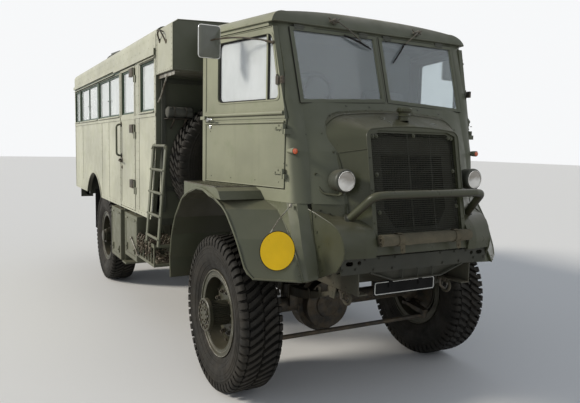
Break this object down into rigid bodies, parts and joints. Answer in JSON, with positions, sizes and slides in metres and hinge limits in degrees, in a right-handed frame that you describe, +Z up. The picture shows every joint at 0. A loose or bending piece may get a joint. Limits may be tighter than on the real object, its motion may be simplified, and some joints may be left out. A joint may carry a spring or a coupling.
{
  "type": "four-wheel-drive military truck with a glazed box body",
  "caption": "Forward-control four-wheel-drive military truck with a glazed box body, spare wheel recess, opening doors and steered front wheels.",
  "frame": {"origin": "on the ground under the middle of the truck's length and width", "axes": "+X forward, +Y to the truck's left, +Z up"},
  "size_m": [6.027, 2.31, 2.6194],
  "materials": {
    "green_paint": "semi-matt dark green service paint",
    "tyre": "worn black rubber with deep bar lugs",
    "glass": "clear flat glass",
    "canvas": "faded khaki canvas",
    "seat_cover": "dark green leathercloth",
    "black_metal": "black satin",
    "lamp": "painted shell with a bright reflector",
    "sign": "yellow disc and black plate, both blank",
    "rubber": "matt black",
    "grille_mesh": "fine horizontal bars, dark",
    "cast_metal": "oily grey"
  },
  "bodies": {
    "truck": {"chassis_frame": "green_paint", "leaf_springs": "green_paint", "front_axle": "green_paint", "rear_axle": "green_paint", "engine_and_radiator": "cast_metal", "driveline": "cast_metal", "cab_shell": "green_paint", "cab_roof": "green_paint", "cab_floor": "green_paint", "seats": "seat_cover", "steering_wheel": "black_metal", "windscreen_frames": "green_paint", "fixed_glass": "glass", "radiator_cowl": "green_paint", "radiator_grille": "grille_mesh", "front_apron": "green_paint", "front_bumper": "green_paint", "guard_bar": "green_paint", "tow_gear": "green_paint", "front_lamps": "lamp", "mudguard_left": "green_paint", "mudguard_right": "green_paint", "sign_plates": "sign", "canvas_roll": "canvas", "body_floor": "green_paint", "body_side_left": "green_paint", "body_side_right": "green_paint", "body_front_wall": "green_paint", "body_rear_wall": "green_paint", "body_roof": "green_paint", "luton_compartment": "green_paint", "side_lockers": "green_paint", "fuel_tank": "green_paint", "chain_rack": "green_paint", "access_steps": "green_paint", "mudflaps": "rubber", "rear_lamps": "lamp", "spare_rim": "green_paint", "spare_tyre": "tyre"},
    "knuckle_right": {"knuckle_right": "green_paint"},
    "knuckle_left": {"knuckle_left": "green_paint"},
    "track_rod": {"track_rod": "green_paint"},
    "wheel_front_right": {"rim_front_right": "green_paint", "tyre_front_right": "tyre"},
    "wheel_front_left": {"rim_front_left": "green_paint", "tyre_front_left": "tyre"},
    "wheel_rear_right": {"rim_rear_right": "green_paint", "tyre_rear_right": "tyre"},
    "wheel_rear_left": {"rim_rear_left": "green_paint", "tyre_rear_left": "tyre"},
    "cab_door_right": {"cab_door_right": "green_paint", "cab_door_glass_right": "glass", "mirror_right": "black_metal"},
    "cab_door_left": {"cab_door_left": "green_paint", "cab_door_glass_left": "glass", "mirror_left": "black_metal"},
    "side_door": {"side_door": "green_paint", "side_door_glass": "glass"}
  },
  "joints": [
    {"name": "steer_right", "type": "hinge", "parent": "truck", "child": "knuckle_right", "pos_m": [1.9865, -0.7, 0.53], "axis": [0, 0, 1], "range_deg": [-27, 27]},
    {"name": "steer_left", "type": "hinge", "parent": "truck", "child": "knuckle_left", "pos_m": [1.9865, 0.7, 0.53], "axis": [0, 0, 1], "range_deg": [-27, 27]},
    {"name": "spin_front_right", "type": "hinge", "parent": "knuckle_right", "child": "wheel_front_right", "pos_m": [1.9865, -0.864, 0.53], "axis": [0, 1, 0], "continuous": true},
    {"name": "spin_rear_right", "type": "hinge", "parent": "truck", "child": "wheel_rear_right", "pos_m": [-1.6455, -0.864, 0.53], "axis": [0, 1, 0], "continuous": true},
    {"name": "spin_front_left", "type": "hinge", "parent": "knuckle_left", "child": "wheel_front_left", "pos_m": [1.9865, 0.864, 0.53], "axis": [0, 1, 0], "continuous": true},
    {"name": "spin_rear_left", "type": "hinge", "parent": "truck", "child": "wheel_rear_left", "pos_m": [-1.6455, 0.864, 0.53], "axis": [0, 1, 0], "continuous": true},
    {"name": "track_rod_pivot", "type": "hinge", "parent": "knuckle_right", "child": "track_rod", "pos_m": [2.2465, -0.64, 0.3844], "axis": [0, 0, 1], "range_deg": [-27, 27]},
    {"name": "cab_door_right_hinge", "type": "hinge", "parent": "truck", "child": "cab_door_right", "pos_m": [2.5155, -0.76319, 1.7], "axis": [0, 0, 1], "range_deg": [0, 65]},
    {"name": "cab_door_left_hinge", "type": "hinge", "parent": "truck", "child": "cab_door_left", "pos_m": [2.5155, 0.76319, 1.7], "axis": [0, 0, -1], "range_deg": [0, 65]},
    {"name": "side_door_hinge", "type": "hinge", "parent": "truck", "child": "side_door", "pos_m": [0.3685, -1.125, 1.7], "axis": [0, 0, 1], "range_deg": [0, 110]}
  ],
  "couplings": [
    {"joint": "steer_left", "follows": "steer_right", "ratio": 1},
    {"joint": "track_rod_pivot", "follows": "steer_right", "ratio": -1}
  ]
}
